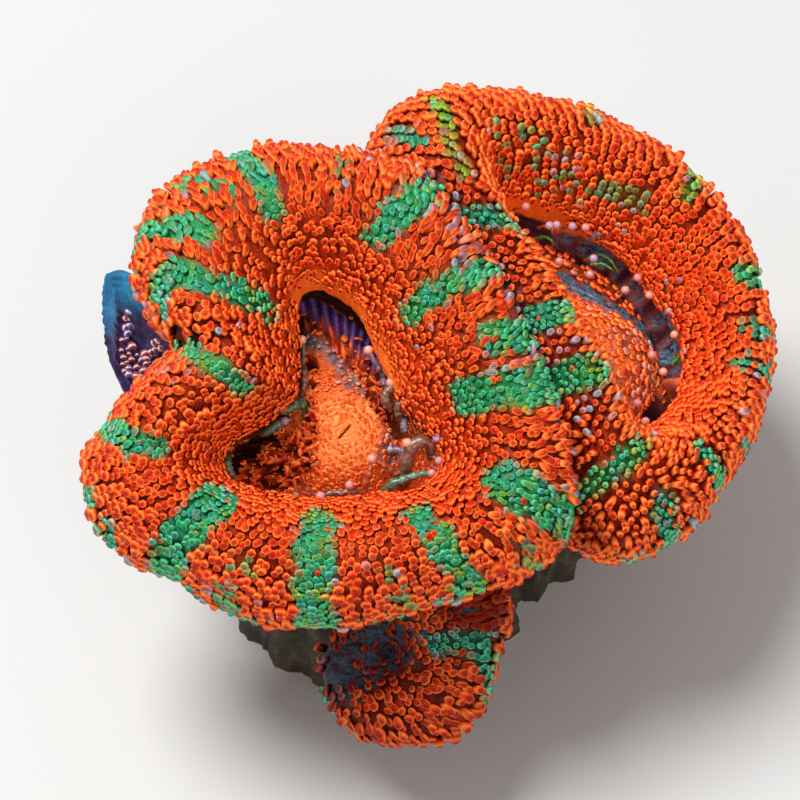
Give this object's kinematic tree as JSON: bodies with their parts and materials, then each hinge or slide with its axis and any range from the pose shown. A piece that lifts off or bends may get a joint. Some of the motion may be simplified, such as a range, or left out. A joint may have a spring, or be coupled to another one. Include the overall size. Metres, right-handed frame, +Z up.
{
  "type": "acan coral",
  "caption": "Fleshy stony-coral colony: ring-shaped polyps ribbed with knobs round sunken mouths, pressed together on a ribbed skeleton that is cut off flat underneath to stand on.",
  "frame": {"origin": "centre of the bounding box on the plane of the flat cut, z = 0", "axes": "+Z up, -Y the side that faces the viewer, +X to the viewer's right, with the rear polyp on the right"},
  "size_m": [0.0385, 0.0344, 0.0278],
  "materials": {
    "flesh": "moist living tissue, orange-red knobs crossed by emerald green stripes, satin",
    "skeleton": "ribbed limestone skeleton under a thin olive-brown skin, matt",
    "old_wall": "thin leaf of old skeleton with a blue and purple skin, satin"
  },
  "bodies": {
    "root": {"polyp_front": "flesh", "polyp_rear": "flesh", "polyp_bud": "flesh", "trunk": "skeleton", "branch_rear": "skeleton", "branch_bud": "skeleton", "old_wall": "old_wall"}
  },
  "joints": []
}
